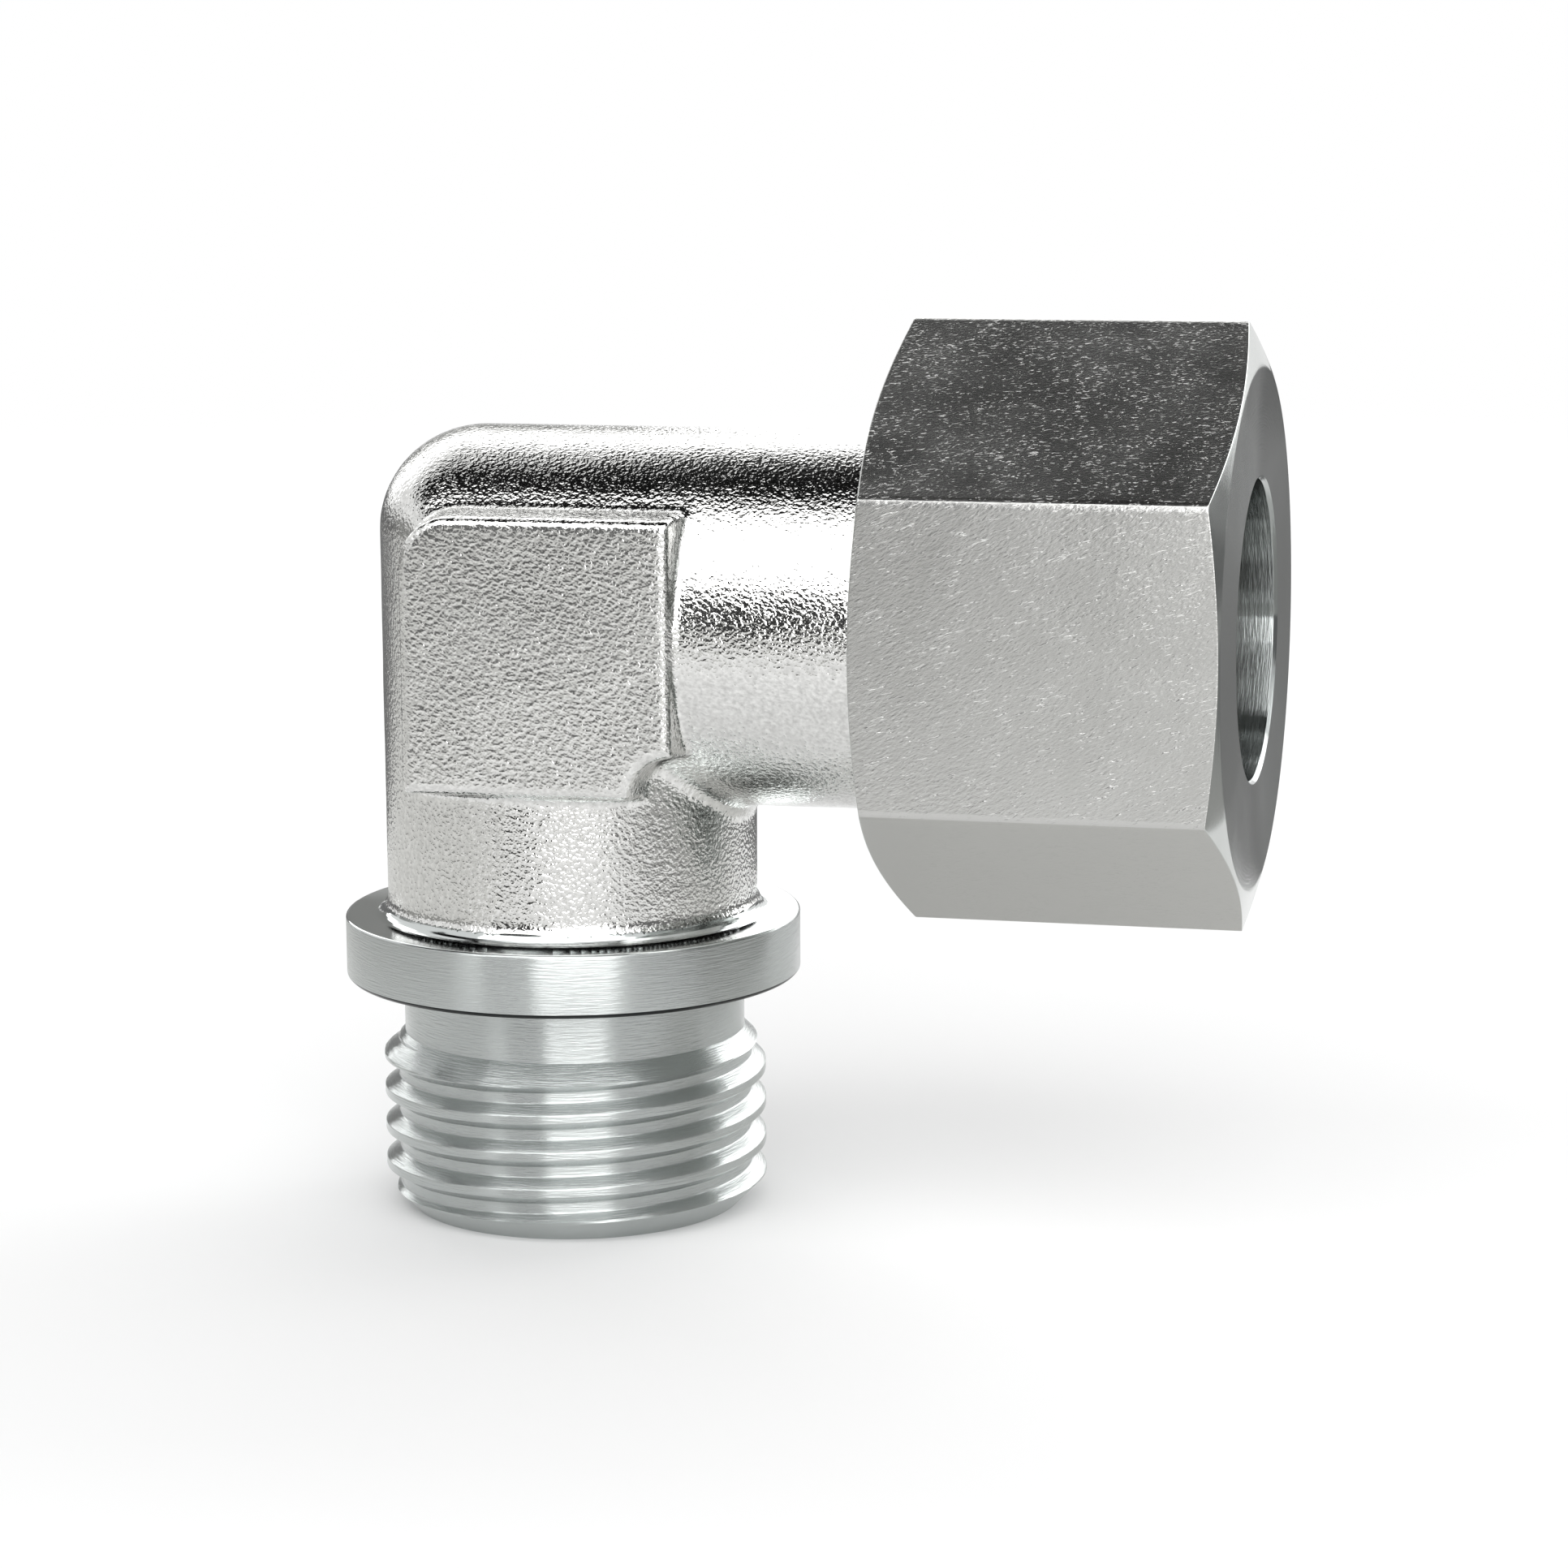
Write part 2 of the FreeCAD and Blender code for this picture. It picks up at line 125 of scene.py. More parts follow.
def forged_zinc(name, width, depth, low, high):
    """Shot-blasted forging under bright zinc: glossy, but pebbled like orange peel, so that
    each reflection breaks up into small bright and dark grains."""
    material = blank_material(name, BODY_ZINC)
    # pebbles drawn out a little, with painted shade in the pits between them and a painted highlight on
    # their tops
    place, slant = slanted(material, 25, 1.15)
    pebbles = add_node(material, "ShaderNodeTexNoise", {
        "Vector": slant, "Scale": 1 / width, "Detail": 1.0, "Roughness": 0.5,
    })
    tone = add_node(material, "ShaderNodeMix", {
        "Factor": pebbles.outputs["Fac"], 6: colour(PIT_SHADE_ZINC), 7: colour(PEBBLE_HIGHLIGHT_ZINC),
    }, data_type="RGBA")
    # the plating's gloss changes slowly, over about 6 mm
    gloss = cloudy(material, place, 6 * MM, low, high)
    return metal(material, tone.outputs[2], pebbles.outputs["Fac"], depth, gloss)


def object_from(name, mesh, materials):
    """Show a mesh as an object with its materials."""
    for material in materials:
        mesh.materials.append(material)
    piece = bpy.data.objects.new(name, mesh)
    bpy.context.scene.collection.objects.link(piece)
    return piece


def trimmed_body():
    """The solid body without its stud and tube end: its outer skin, then its passages."""
    work = bmesh.new()
    work.from_mesh(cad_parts["elbow_body"].data)
    bmesh.ops.remove_doubles(work, verts=work.verts, dist=WELD)
    for point, outward in (((0, 0, SKIN_LOW), (0, 0, -1)), ((SKIN_FAR, 0, 0), (1, 0, 0))):
        everything = work.verts[:] + work.edges[:] + work.faces[:]
        bmesh.ops.bisect_plane(
            work, geom=everything, plane_co=point, plane_no=outward, clear_outer=True,
        )
    # the outer skin is all that hangs together with the highest point
    outer = {max(work.verts, key=lambda vert: vert.co.z)}
    fresh = list(outer)
    while fresh:
        vert = fresh.pop()
        for edge in vert.link_edges:
            other = edge.other_vert(vert)
            if other not in outer:
                outer.add(other)
                fresh.append(other)
    work.verts.index_update()
    inner = work.copy()
    inner.verts.ensure_lookup_table()
    bmesh.ops.delete(inner, geom=[inner.verts[vert.index] for vert in outer], context="VERTS")
    bmesh.ops.delete(work, geom=[vert for vert in work.verts if vert not in outer], context="VERTS")
    return work, inner


def forged_skin(work):
    """Melt the skin's edges as a die leaves them, and let its faces wander a little."""
    bmesh.ops.holes_fill(work, edges=[edge for edge in work.edges if edge.is_boundary])
    mesh = bpy.data.meshes.new("forged_elbow")
    work.to_mesh(mesh)
    work.free()
    piece = object_from("forged_elbow", mesh, [])
    melt = piece.modifiers.new("melt", "REMESH")
    melt.mode = "VOXEL"
    melt.voxel_size = SKIN_GRID
    soften = piece.modifiers.new("soften", "SMOOTH")
    soften.iterations = 6
    bpy.context.view_layer.update()
    shown = piece.evaluated_get(bpy.context.evaluated_depsgraph_get())
    melted = bpy.data.meshes.new_from_object(shown)
    work = bmesh.new()
    work.from_mesh(melted)
    ends = [
        face for face in work.faces
        if face.calc_center_median().z < SKIN_START or face.calc_center_median().x > SKIN_END
    ]
    bmesh.ops.delete(work, geom=ends, context="FACES")
    work.normal_update()
    for vert in work.verts:
        wave = noise.noise(vert.co / LONG_WAVE) + 0.35 * noise.noise(vert.co / SHORT_WAVE)
        vert.co += vert.normal * (wave * SKIN_WAVE)
    for face in work.faces:
        face.smooth = True
        pressed = abs(face.calc_center_median().y) > FLAT_SKIN and abs(face.normal.y) > 0.96
        face.material_index = 1 if pressed else 0
    melted.materials.clear()
    work.to_mesh(melted)
    work.free()
    melted.name = "forged_elbow"
    # pebbles 0.26 mm across, and flatter, duller ones of 0.28 mm where the die pressed the flats
    for zinc in (
        forged_zinc("forged_zinc_plated_steel", 0.26 * MM, 0.06 * MM, 0.07, 0.12),
        forged_zinc("pressed_zinc_plated_flats", 0.28 * MM, 0.05 * MM, 0.17, 0.21),
    ):
        melted.materials.append(zinc)
    piece.modifiers.clear()
    piece.data = melted
    return piece


outer_skin, passage_skin = trimmed_body()
forged_elbow = forged_skin(outer_skin)
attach(forged_elbow, "body")
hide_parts("elbow_body")

# Passages: two holes drilled until they meet in the corner. The same steel under the same
# zinc, with rings from the drill. They look darker because little light gets in.

AXIS = 25.5 * MM          # sealing face to the tube axis
RING_SPREAD = 0.9 * MM    # how slowly a ring changes on its way round


def crisp(mesh, angle=28):
    """Shade smooth, but keep the edges that turn by more than an angle."""
    work = bmesh.new()
    work.from_mesh(mesh)
    for face in work.faces:
        face.smooth = True
    for edge in work.edges:
        edge.smooth = len(edge.link_faces) == 2 and edge.calc_face_angle() < math.radians(angle)
    work.to_mesh(mesh)
    work.free()


def turned_marks(material, axis, spacing):
    """Height of the fine rings that a cutting tool leaves about the Z axis or the tube axis."""
    place = add_node(material, "ShaderNodeTexCoord").outputs["Object"]
    split = add_node(material, "ShaderNodeSeparateXYZ", {0: place})
    if axis == "Z":
        along, across, up = split.outputs["Z"], split.outputs["X"], split.outputs["Y"]
    else:
        raised = add_node(
            material, "ShaderNodeMath", {0: split.outputs["Z"], 1: AXIS}, operation="SUBTRACT",
        )
        along, across, up = split.outputs["X"], split.outputs["Y"], raised.outputs["Value"]
    flat = add_node(material, "ShaderNodeCombineXYZ", {"X": across, "Y": up})
    radius = add_node(material, "ShaderNodeVectorMath", {0: flat.outputs["Vector"]}, operation="LENGTH")
    turn = add_node(material, "ShaderNodeMath", {0: across, 1: up}, operation="ARCTAN2")
    slow = add_node(
        material, "ShaderNodeMath", {0: turn.outputs["Value"], 1: RING_SPREAD}, operation="MULTIPLY",
    )
    rings = add_node(material, "ShaderNodeCombineXYZ", {
        "X": along, "Y": radius.outputs["Value"], "Z": slow.outputs["Value"],
    })
    fine = add_node(material, "ShaderNodeTexNoise", {
        "Vector": rings.outputs["Vector"], "Scale": 1 / spacing, "Detail": 2.0, "Roughness": 0.6,
    })
    return fine.outputs["Fac"], place


def turned_zinc(name, code, axis, spacing, depth, low, high):
    """Lathe-turned steel under zinc: bright, with rings 0.1 to 0.2 mm apart that the tool left.
    They draw each highlight out into a stripe across them."""
    material = blank_material(name, code)
    marks, place = turned_marks(material, axis, spacing)
    gloss = cloudy(material, place, 4 * MM, low, high)
    tangent = add_node(material, "ShaderNodeTangent", direction_type="RADIAL", axis=axis)
    return metal(material, colour(code), marks, depth, gloss, **{
        "Anisotropic": 1.0, "Anisotropic Rotation": 0.25, "Tangent": tangent.outputs["Tangent"],
    })


passage_mesh = bpy.data.meshes.new("drilled_passages")
passage_skin.to_mesh(passage_mesh)
passage_skin.free()
crisp(passage_mesh)
drilled = object_from("drilled_passages", passage_mesh, [
    turned_zinc("drilled_zinc_plated_steel", "#D6D4D0", "Z", 0.2 * MM, 0.02 * MM, 0.22, 0.26),
])
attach(drilled, "body")
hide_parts("elbow_body")

# Collar and male stud: turned on a lathe from the forging, with a raised sealing edge under
# the collar, an undercut neck and a right-hand thread cut with a single point. Zinc-plated.

STUD_CREST = 13.5         # radii and heights in millimetres, from here to the nut
STUD_ROOT = 12.45
STUD_PITCH = 2.6
STUD_CREST_AT = -9.62     # height of a crest's middle on the +X side
STUD_END = -16.5
STUD_TIP = 11.65          # radius of the end, inside its chamfer
RUN_OUT = -4.0            # the thread stops on the neck here
NECK = 12.0
COLLAR = 16.0
COLLAR_TOP = 4.4
ARM = 13.0                # the forged arm above the collar
HOLLOW = 1.0              # radius of the hollow between the two
PASSAGE = 8.0
CREST_SHARE = 0.235       # share of the pitch that a crest is flat on
TOOTH_EDGE = 0.09         # rounding of a crest and a root
ROW = 0.12                # height between the rows of a thread's grid, and the least there is
LEAST_ROW = 0.03
AROUND = 216              # points round each turned surface


def soft_profile(points, radius):
    """Round the corners of a line of (radius, height) points."""
    line = [points[0]]
    for before, corner, after in zip(points, points[1:], points[2:]):
        before, corner, after = Vector(before), Vector(corner), Vector(after)
        back, on = before - corner, after - corner
        reach = min(radius, back.length * 0.4, on.length * 0.4)
        start, end = corner + back.normalized() * reach, corner + on.normalized() * reach
        for share in (0, 0.25, 0.5, 0.75, 1):
            middle = start.lerp(corner, share).lerp(corner.lerp(end, share), share)
            line.append(tuple(middle))
    line.append(points[-1])
    return line


def wound(radius, turn, height):
    """Points at a radius and an angle round the axis, and a height along it."""
    return np.stack(np.broadcast_arrays(radius * np.cos(turn), radius * np.sin(turn), height), axis=-1)


def turned(points, radius=0.12):
    """Grid of a turned surface: one row for each point of the softened line."""
    line = np.array(soft_profile(points, radius))
    return wound(line[:, :1], np.linspace(0, 2 * math.pi, AROUND + 1), line[:, 1:])


def threaded(low, high, crest, root, pitch, crest_at, limit, inside=False):
    """Grid of a right-hand thread between two heights. The limit gives the turned surface
    that the thread runs out on, as the radius at each height."""
    side = abs((crest - root) * math.tan(math.radians(30)))
    land = (pitch * CREST_SHARE) / 2
    tooth_r, tooth_z = np.array(soft_profile([
        (root, -pitch / 2), (root, -land - side), (crest, -land),
        (crest, land), (root, land + side), (root, pitch / 2),
    ], TOOTH_EDGE)).T
    even = np.arange(-pitch / 2, pitch / 2, ROW)
    steps = np.unique(np.round(np.concatenate([tooth_z[:-1], even]), 4))
    steps = steps[np.insert(np.diff(steps) > LEAST_ROW, 0, True)]
    turns = math.ceil((high - low) / pitch) + 2
    first = math.floor((low - crest_at) / pitch) - 1
    heights = np.concatenate([steps + (first + turn) * pitch + crest_at for turn in range(turns)])
    wanted = np.tile(np.interp(steps, tooth_z, tooth_r), turns)
    turn = np.linspace(0, 2 * math.pi, AROUND + 1)
    z = np.clip(heights[:, None] + pitch * turn / (2 * math.pi), low, high)
    within = np.maximum if inside else np.minimum
    return wound(within(wanted[:, None], limit(z)), turn, z)


def shell(name, grids, lying=False):
    """Join grids into one mesh. A lying one has its axis turned from Z onto the tube axis."""
    verts, faces, count = [], [], 0
    for grid in grids:
        rows, columns = grid.shape[:2]
        number = np.arange(rows * columns).reshape(rows, columns) + count
        count += rows * columns
        verts.append(grid.reshape(-1, 3))
        faces.append(np.stack([
            number[:-1, :-1], number[:-1, 1:], number[1:, 1:], number[1:, :-1],
        ], axis=-1).reshape(-1, 4))
    place = np.concatenate(verts) * MM
    if lying:
        place = np.stack([place[:, 2], place[:, 1], AXIS - place[:, 0]], axis=-1)
    mesh = bpy.data.meshes.new(name)
    mesh.from_pydata(place.tolist(), [], np.concatenate(faces).tolist())
    work = bmesh.new()
    work.from_mesh(mesh)
    bmesh.ops.remove_doubles(work, verts=work.verts, dist=2 * WELD)
    bmesh.ops.recalc_face_normals(work, faces=work.faces)
    work.to_mesh(mesh)
    work.free()
    crisp(mesh)
    return mesh


def stud_limit(z):
    """Radius of the neck's ramp, the crests and the lead-in at a height."""
    return np.interp(z, [STUD_END, -14.65, -5.5, RUN_OUT], [STUD_TIP, STUD_CREST, STUD_CREST, NECK])


stud_mesh = shell("turned_stud", [
    # the passage and its mouth
    turned([(PASSAGE, 4.6), (PASSAGE, -16.0), (8.5, STUD_END), (STUD_TIP, STUD_END)], 0.1),
    threaded(STUD_END, RUN_OUT, STUD_CREST, STUD_ROOT, STUD_PITCH, STUD_CREST_AT, stud_limit),
    # neck, sealing edge, rim and top of the collar
    turned([
        (NECK, RUN_OUT), (NECK, 0.3), (14.25, 0.3), (14.55, 0.0), (15.75, 0.0), (COLLAR, 0.25),
        (COLLAR, 4.25), (15.85, COLLAR_TOP), (ARM + HOLLOW, COLLAR_TOP),
    ]),
    turned([
        (ARM + HOLLOW - HOLLOW * math.sin(a), COLLAR_TOP + HOLLOW - HOLLOW * math.cos(a))
        for a in np.radians(np.arange(0, 91, 10))
    ], 0.02),
])
# The top of the collar has a finer cut, and the bevel under its rim a dull, nearly black colour, which
# is painted shade from under the collar.
for face in stud_mesh.polygons:
    reach = math.hypot(face.center.x, face.center.y)
    on_foot = face.center.z > 4.3 * MM and reach > 12.5 * MM
    painted_shade_bevel = 0 < face.center.z < 0.3 * MM and reach > 15.7 * MM
    face.material_index = 1 if on_foot else 2 if painted_shade_bevel else 0
turned_stud = object_from("turned_stud", stud_mesh, [
    turned_zinc("turned_zinc_plated_steel", "#BBBFBE", "Z", 0.13 * MM, 0.038 * MM, 0.24, 0.265),
    turned_zinc("finely_turned_zinc_plated_foot", "#C9CDCC", "Z", 0.1 * MM, 0.004 * MM, 0.06, 0.1),
    # nearly black: painted shade on the bevel under the collar's rim
    turned_zinc("painted_shade_under_the_rim", "#2C2E2E", "Z", 0.13 * MM, 0.01 * MM, 0.24, 0.265),
])
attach(turned_stud, "body")
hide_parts("elbow_body")

# Tube end: the arm's far end turned to a 30 mm thread with 2 mm pitch, with a socket for the
# tube and a 24 degree cone for the cutting ring. The nut hides it until it is unscrewed.

TUBE_CREST = 15.0         # radii, and lengths along the tube axis
TUBE_ROOT = 13.8
TUBE_PITCH = 2.0
THREAD_FOOT = 24.3
TUBE_END = 36.0
SOCKET = 10.15            # the tube's radius and some room
SOCKET_FLOOR = 25.5
CONE = 11.45              # the 24 degree cone's radius at its mouth


def tube_limit(x):
    """Radius of the slope from the arm, the crests and the lead-in along the tube axis."""
    return np.interp(x, [THREAD_FOOT, 26.3, 34.8, TUBE_END], [ARM, TUBE_CREST, TUBE_CREST, TUBE_ROOT])


end_mesh = shell("turned_tube_end", [
    turned([(12.9, 23.9), (ARM, 24.2), (ARM, THREAD_FOOT)]),
    threaded(THREAD_FOOT, TUBE_END, TUBE_CREST, TUBE_ROOT, TUBE_PITCH, 30.0, tube_limit),
    turned([
        (TUBE_ROOT, TUBE_END), (CONE, TUBE_END), (SOCKET, 29.884), (SOCKET, SOCKET_FLOOR),
        (PASSAGE, SOCKET_FLOOR), (PASSAGE, 24.25),
    ]),
], lying=True)
turned_end = object_from("turned_tube_end", end_mesh, [
    turned_zinc("turned_zinc_plated_tube_end", "#BFBEBB", "X", 0.13 * MM, 0.03 * MM, 0.24, 0.265),
])
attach(turned_end, "body")
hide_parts("elbow_body")

# Union nut: cut from drawn hexagon bar, chamfered and bored on a lathe and threaded inside.
# Zinc-plated steel. Its flats keep the bar's drawn skin, and its ends are turned.

NUT_BACK = 23.9
NUT_FRONT = 48.2
NUT_FLAT = 18.0           # half the size across flats
NUT_FACE = 17.7           # flat circle of each end
NUT_SLOPE = math.tan(math.radians(15))
NUT_CREST = 14.05
NUT_ROOT = 15.15
NUT_MOUTH = 15.9          # lead-in of the thread
NUT_CONE = 39.9           # the inner cone, which presses on the ring, begins here
TUBE_HOLE = 10.15
TUBE_MOUTH = 10.4
BAR_EDGE = 0.25           # softness of the bar's six edges
CHAMFER_EDGE = 0.12
NUT_TURN = np.linspace(0, 2 * math.pi, 601) + math.pi / 6
DRAWN_ZINC = "#BFBFBD"
GRAIN = 0.16 * MM
SCRATCH = 0.13 * MM


def softer(a, b, width):
    """The smaller of two values, eased over a width so that their edge is rounded."""
    ease = np.clip(1 - np.abs(a - b) / width, 0, 1)
    return np.minimum(a, b) - ease * ease * width / 4


def hexagon(turn):
    """Radius of the bar at each angle round it, with its six edges softened."""
    from_flat = (turn % (math.pi / 3)) - math.pi / 6
    near = NUT_FLAT / np.cos(from_flat)
    other = NUT_FLAT / np.cos(math.pi / 3 - np.abs(from_flat))
    return softer(near, other, BAR_EDGE)


def nut_outside():
    """Grid of the six flats and the two 15 degree chamfers, with rows along their shared edge."""
    bar = hexagon(NUT_TURN)
    edge = (bar - NUT_FACE) * NUT_SLOPE
    rows = [edge * share for share in (0, 0.1, 0.35, 0.6)]
    rows += [edge + step for step in (-0.03, -0.02, -0.01, 0, 0.01, 0.02, 0.03, 0.1, 0.5)]
    rows += [np.full_like(edge, reach) for reach in (2.2, 5.0, 9.0)]
    depth = np.array(rows)
    r = softer(bar, NUT_FACE + depth / NUT_SLOPE, CHAMFER_EDGE)
    back, front = wound(r, NUT_TURN, NUT_BACK + depth), wound(r, NUT_TURN, NUT_FRONT - depth)
    return np.concatenate([back, front[::-1]])


def drawn_zinc():
    """Drawn bar under zinc: satin, with a fine slanting grain like leather and small scratches,
    which show as light hairs where the flat mirrors something dark."""
    material = blank_material("drawn_zinc_plated_steel", DRAWN_ZINC)
    # grain 0.16 mm wide and 0.35 mm long, deeper in some patches than in others
    place, slant = slanted(material, -28, 2.2)
    grain = add_node(material, "ShaderNodeTexNoise", {
        "Vector": slant, "Scale": 1 / GRAIN, "Detail": 1.0, "Roughness": 0.5,
    })
    patches = cloudy(material, place, 2.5 * MM, 0.5, 1.0)
    leather = add_node(
        material, "ShaderNodeMath", {0: grain.outputs["Fac"], 1: patches}, operation="MULTIPLY",
    )
    # scratches 0.13 mm wide and 0.8 mm long, a little curled, from handling
    long_slant = slanted(material, -20, 6)[1]
    handling = add_node(material, "ShaderNodeTexNoise", {
        "Vector": long_slant, "Scale": 1 / SCRATCH, "Detail": 1.0, "Distortion": 0.8,
    })
    scratches = add_node(material, "ShaderNodeMapRange", {
        "Value": handling.outputs["Fac"], "From Min": 0.645, "From Max": 0.8, "To Max": 1.3,
    })
    worn = add_node(material, "ShaderNodeMath", {0: patches, 1: patches}, operation="MULTIPLY")
    height = add_node(material, "ShaderNodeMath", {
        0: scratches.outputs["Result"], 1: worn.outputs["Value"], 2: leather.outputs["Value"],
    }, operation="MULTIPLY_ADD")
    gloss = cloudy(material, place, 5 * MM, 0.2, 0.25)
    return metal(material, colour(DRAWN_ZINC), height.outputs["Value"], 0.016 * MM, gloss)


def nut_limit(x):
    """Radius of the nut's bore between its lead-in and its inner cone."""
    return np.interp(x, [NUT_BACK, NUT_BACK + 0.9, NUT_CONE], [NUT_MOUTH, NUT_CREST, NUT_CREST])


def nut_ends():
    """Grids of the two end faces, which join the hexagon's outline to the bore."""
    outer = softer(hexagon(NUT_TURN), NUT_FACE, CHAMFER_EDGE)
    inward = np.array([[0], [0.03], [0.3], [1]])
    return [
        wound(outer + (bore - outer) * inward, NUT_TURN, x)
        for x, bore in ((NUT_BACK, NUT_MOUTH), (NUT_FRONT, TUBE_MOUTH))
    ]


nut_mesh = shell("hexagon_nut", [
    nut_outside(), *nut_ends(),
    threaded(NUT_BACK, NUT_CONE, NUT_CREST, NUT_ROOT, TUBE_PITCH, 31.0, nut_limit, inside=True),
    turned([
        (NUT_CREST, NUT_CONE), (NUT_CREST, 39.95), (TUBE_HOLE, 43.8), (TUBE_HOLE, 47.95),
        (TUBE_MOUTH, NUT_FRONT),
    ], 0.05),
], lying=True)
for face in nut_mesh.polygons:
    reach = math.hypot(face.center.y, face.center.z - AXIS) / MM
    on_flat = reach > 16.5 and abs(face.normal.x) < 0.6
    bored = reach < 15.3 and NUT_BACK + 0.1 < face.center.x / MM < NUT_FRONT - 0.1
    face.material_index = 0 if on_flat else 2 if bored else 1
hexagon_nut = object_from("hexagon_nut", nut_mesh, [
    drawn_zinc(),
    turned_zinc("turned_zinc_plated_nut_ends", "#C0C3C1", "X", 0.16 * MM, 0.006 * MM, 0.13, 0.16),
    # bored finish, and a darker tone than the ends that is painted shade inside the bore
    turned_zinc("bored_zinc_with_painted_shade", "#A8ACAB", "X", 0.16 * MM, 0.02 * MM, 0.14, 0.18),
])
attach(hexagon_nut, "nut")
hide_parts("union_nut")

# Cutting ring: a thin turned ring, hardened and zinc-plated, that slides over the tube and
# sits between the body's cone and the nut's. Its two inner edges bite into the tube.

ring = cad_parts["cutting_ring"]
ring.data.materials.clear()
ring.data.materials.append(
    turned_zinc("hardened_zinc_plated_ring", "#CFCDC9", "X", 0.12 * MM, 0.012 * MM, 0.22, 0.26)
)

# Studio: a plain pale floor under the stud, four soft lamps, and felt-covered cards and strips
# round the fitting. The camera doesn't see these. The bright zinc does, as its dark and grey
# bands. Sizes and places from here on are in metres.

FLOOR = STUD_END * MM
STRIP = FLOOR + 0.001     # the felt strips lie just above the floor
FADE_START = 0.25         # the floor's paint fades out into the white background
FADE_END = 0.6


def card(name, centre, width, height, facing, material):
    """A flat card that faces a point."""
    mesh = bpy.data.meshes.new(name)
    w, h = width / 2, height / 2
    mesh.from_pydata([(-w, -h, 0), (w, -h, 0), (w, h, 0), (-w, h, 0)], [], [(0, 1, 2, 3)])
    piece = object_from(name, mesh, [material])
    piece.location = centre
    piece.rotation_euler = (Vector(facing) - Vector(centre)).to_track_quat("Z", "Y").to_euler()
    return piece


def softbox(name, azimuth, elevation, distance, width, height, power):
    """A rectangular lamp that faces the fitting. Azimuth 0 is in front of it, 90 to its right."""
    lamp = bpy.data.lights.new(name, "AREA")
    lamp.shape = "RECTANGLE"
    lamp.size = width
    lamp.size_y = height
    lamp.energy = power
    holder = bpy.data.objects.new(name, lamp)
    bpy.context.scene.collection.objects.link(holder)
    a, e = math.radians(azimuth), math.radians(elevation)
    middle = Vector((12 * MM, 0, 15 * MM))
    out = Vector((math.sin(a) * math.cos(e), -math.cos(a) * math.cos(e), math.sin(e)))
    holder.location = middle + out * distance
    holder.rotation_euler = out.to_track_quat("Z", "Y").to_euler()
    holder.visible_camera = False
    return holder


# matt paint, so that the floor is even and keeps the fitting's soft shadow
PALE_PAINT = "#F4F4F4"
pale_paint = blank_material("matt_pale_paint", PALE_PAINT)
paint = add_node(pale_paint, "ShaderNodeBsdfDiffuse", {"Color": colour(PALE_PAINT)})
clear = add_node(pale_paint, "ShaderNodeBsdfTransparent")
place = add_node(pale_paint, "ShaderNodeTexCoord").outputs["Object"]
reach = add_node(pale_paint, "ShaderNodeVectorMath", {0: place}, operation="LENGTH")
fade = add_node(pale_paint, "ShaderNodeMapRange", {
    "Value": reach.outputs["Value"], "From Min": FADE_START, "From Max": FADE_END,
}, interpolation_type="SMOOTHSTEP")
blend = add_node(pale_paint, "ShaderNodeMixShader", {
    0: fade.outputs["Result"], 1: paint.outputs["BSDF"], 2: clear.outputs["BSDF"],
})
add_node(pale_paint, "ShaderNodeOutputMaterial", {"Surface": blend.outputs["Shader"]})
floor = card("floor", (0, 0, FLOOR), 2.4, 2.4, (0, 0, 1), pale_paint)


def felt(name, code):
    """Felt over a card: matt, so that it shows as one even tone in the metal."""
    cloth = blank_material(name, code)
    matt = add_node(cloth, "ShaderNodeBsdfDiffuse", {"Color": colour(code)})
    add_node(cloth, "ShaderNodeOutputMaterial", {"Surface": matt.outputs["BSDF"]})
    return cloth


black_felt = felt("black_felt", "#181818")
charcoal_felt = felt("charcoal_felt", "#3C3C3C")
dark_felt = felt("dark_grey_felt", "#767676")
grey_felt = felt("grey_felt", "#A2A2A0")
light_felt = felt("light_grey_felt", "#C6C6C4")
pale_felt = felt("pale_felt", "#DADAD8")
# each card's middle, width, height, the point it faces, and its felt
for name, centre, width, height, facing, cloth in (
    ("dark_card_above", (0, 0.02, 0.5), 1.4, 0.22, (0, 0.02, 0), black_felt),
    ("dark_card_behind", (0.28, 0.23, 0.5), 0.86, 0.2, (0.28, 0.23, 0), charcoal_felt),
    ("grey_card_behind", (-0.345, 0.62, 0.3), 0.37, 0.42, (-0.345, 0, 0.3), grey_felt),
    ("dark_card_in_front", (-0.146, -0.478, 0.092), 0.231, 0.217, (0, 0, 0.092), charcoal_felt),
    ("grey_card_on_the_left", (-0.5, -0.08, 0.06), 0.74, 0.153, (0, 0, 0.06), grey_felt),
    ("grey_card_behind_left", (-0.36, 0.33, 0.02), 0.42, 0.073, (0, 0, 0.02), dark_felt),
    ("grey_card_on_the_right", (0.45, -0.12, 0.06), 0.6, 0.153, (0, 0, 0.06), dark_felt),
    ("grey_card_behind_right", (0.4, 0.28, 0.03), 0.42, 0.093, (0, 0, 0.03), dark_felt),
    ("dark_card_behind_the_nut", (0.1, 0.55, -0.001), 0.4, 0.031, (0.1, 0, 0), dark_felt),
    ("light_strip_in_front", (-0.03, -0.335, STRIP), 0.9, 0.33, (-0.03, -0.335, 1), light_felt),
    ("pale_strip_on_the_left", (-0.275, 0.115, STRIP), 0.45, 0.57, (-0.275, 0.115, 1), pale_felt),
    ("grey_strip_on_the_right", (0.31, 0.12, STRIP), 0.42, 0.5, (0.31, 0.12, 1), grey_felt),
    ("dark_strip_behind", (0.0, 0.33, STRIP + 0.0005), 0.6, 0.44, (0, 0.33, 1), dark_felt),
    ("light_strip_under_the_nut", (0.055, 0.02, STRIP), 0.08, 0.07, (0.055, 0.02, 1), pale_felt),
):
    flag = card(name, centre, width, height, facing, cloth)
    flag.visible_camera = False
    flag.visible_shadow = False
    flag.visible_diffuse = False

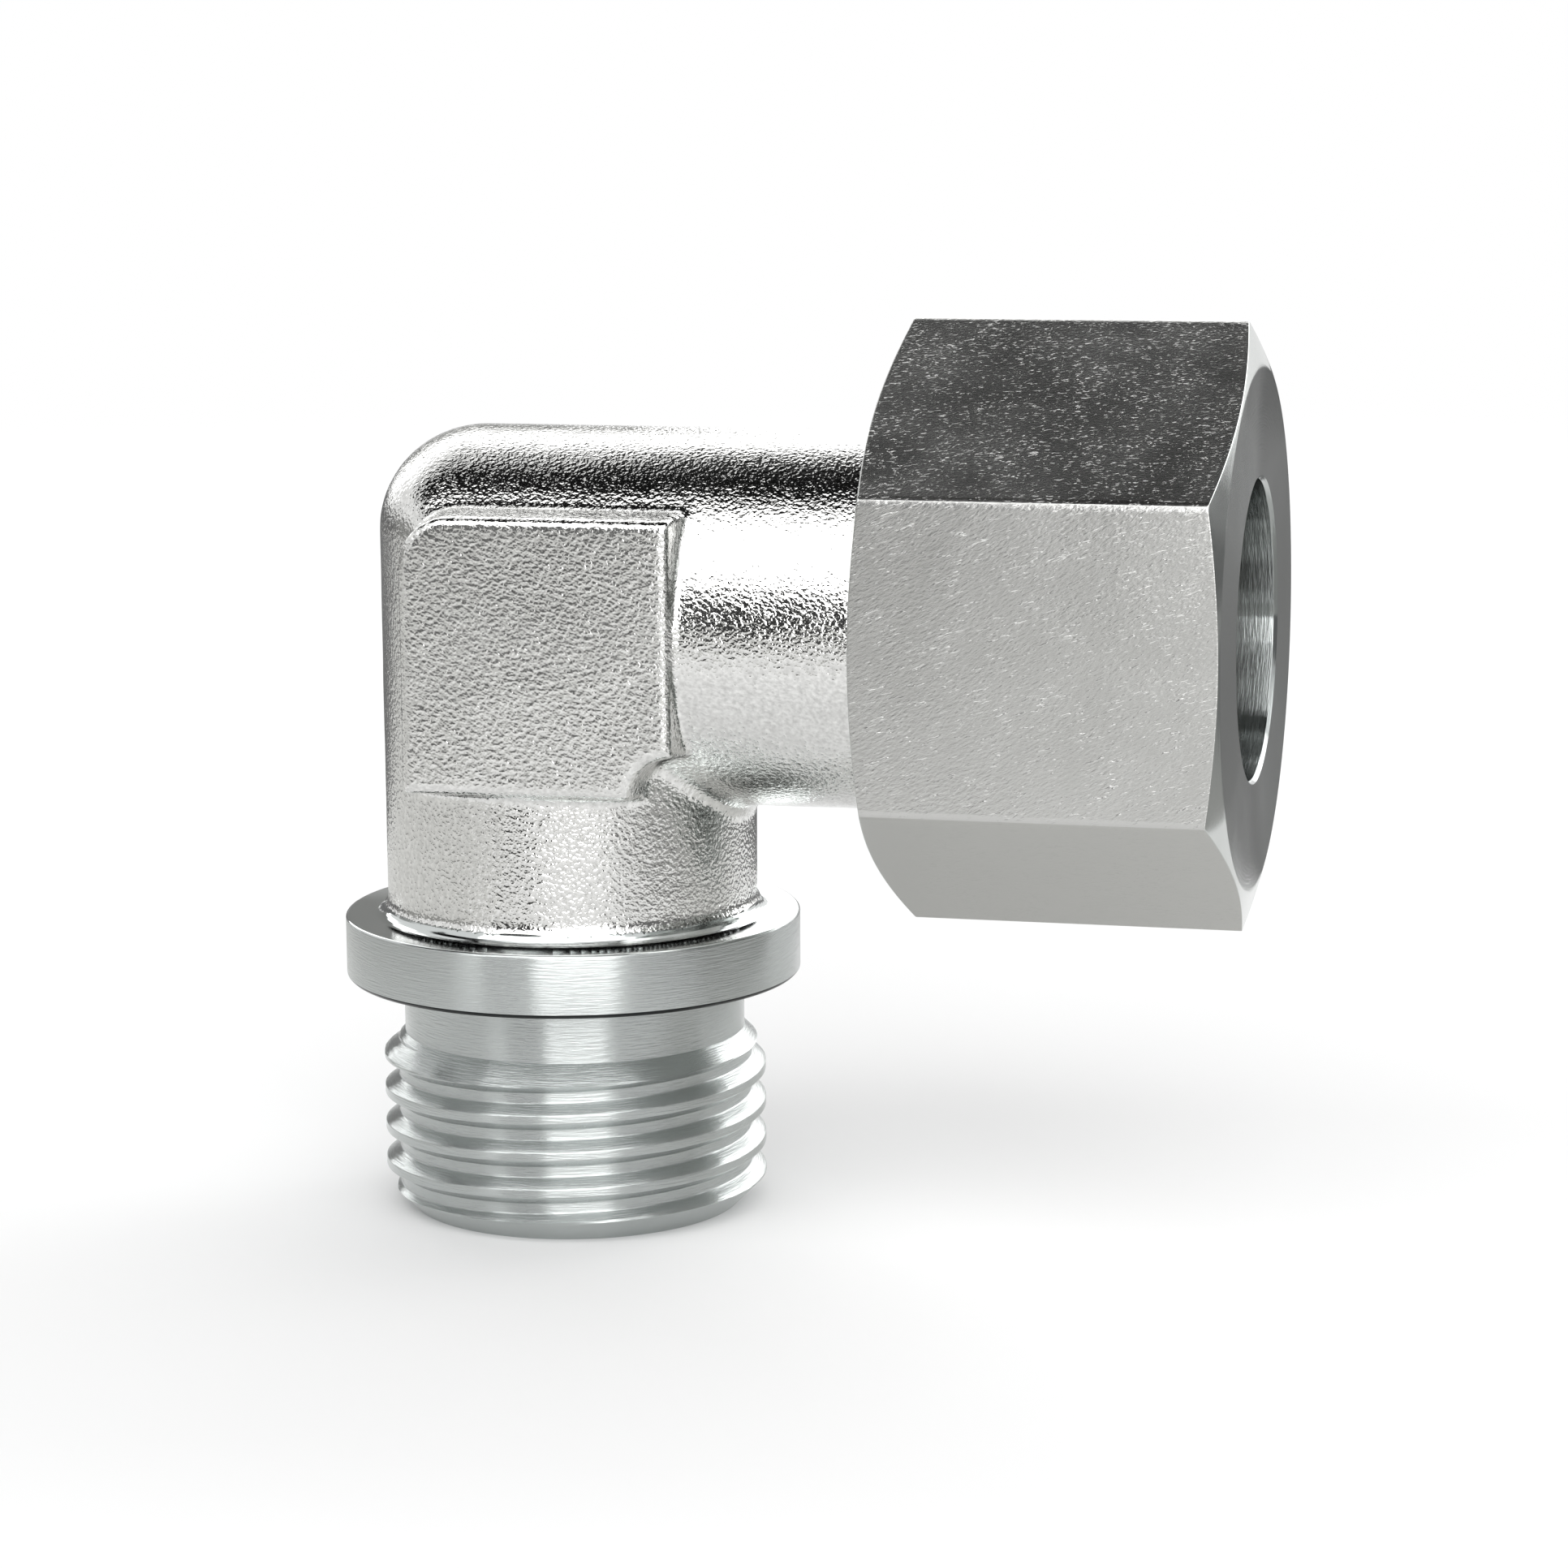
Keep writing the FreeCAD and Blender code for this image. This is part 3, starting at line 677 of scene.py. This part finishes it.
# azimuth and elevation in degrees, distance, width and height in metres, and watts
softbox("front_softbox", 0, 47, 0.6, 0.95, 0.62, 2.9)
softbox("low_softbox", 16, 9, 0.6, 0.43, 0.21, 0.95)
softbox("back_softbox", 180, 29, 0.7, 1.6, 0.54, 4.6)
softbox("side_softbox", 125, 25, 0.7, 0.65, 0.65, 1.5)

# the world is white for the camera, for metal and for glass, and lights the rest at 0.4
world = bpy.data.worlds.new("white_studio")
world.use_nodes = True
world.node_tree.nodes.clear()
rays = add_node(world, "ShaderNodeLightPath")
seen = add_node(world, "ShaderNodeMath", {
    0: rays.outputs["Is Camera Ray"], 1: rays.outputs["Is Glossy Ray"],
}, operation="ADD")
shown = add_node(world, "ShaderNodeMath", {
    0: seen.outputs["Value"], 1: rays.outputs["Is Transmission Ray"],
}, operation="ADD", use_clamp=True)
level = add_node(world, "ShaderNodeMapRange", {
    "Value": shown.outputs["Value"], "To Min": 0.4, "To Max": 1.0,
})
sky = add_node(world, "ShaderNodeBackground", {
    "Color": colour("#FFFFFF"), "Strength": level.outputs["Result"],
})
add_node(world, "ShaderNodeOutputWorld", {"Surface": sky.outputs["Background"]})
bpy.context.scene.world = world

# Camera: as far from the fitting as in the photograph, a little above it and to the right.

EYE = Vector((87.336, -294.553, 68.354)) * MM
FOCAL = 5468.976          # focal length in pixels of the photograph
FRAME = 1932              # its width in pixels
yaw, pitch, roll = (math.radians(angle) for angle in (-13.732, -10.198, -0.393))
ahead = Vector((math.sin(yaw) * math.cos(pitch), math.cos(yaw) * math.cos(pitch), math.sin(pitch)))
level_right = Vector((math.cos(yaw), -math.sin(yaw), 0))
level_up = level_right.cross(ahead)
right = level_right * math.cos(roll) + level_up * math.sin(roll)
up = level_up * math.cos(roll) - level_right * math.sin(roll)
lens = bpy.data.cameras.new("photo_camera")
lens.sensor_width = 36
lens.lens = FOCAL / FRAME * lens.sensor_width
lens.clip_start = 0.01
camera = bpy.data.objects.new("photo_camera", lens)
bpy.context.scene.collection.objects.link(camera)
camera.matrix_world = Matrix.Translation(EYE) @ Matrix((right, up, -ahead)).transposed().to_4x4()
bpy.context.scene.camera = camera
bpy.context.scene.view_settings.view_transform = "Standard"
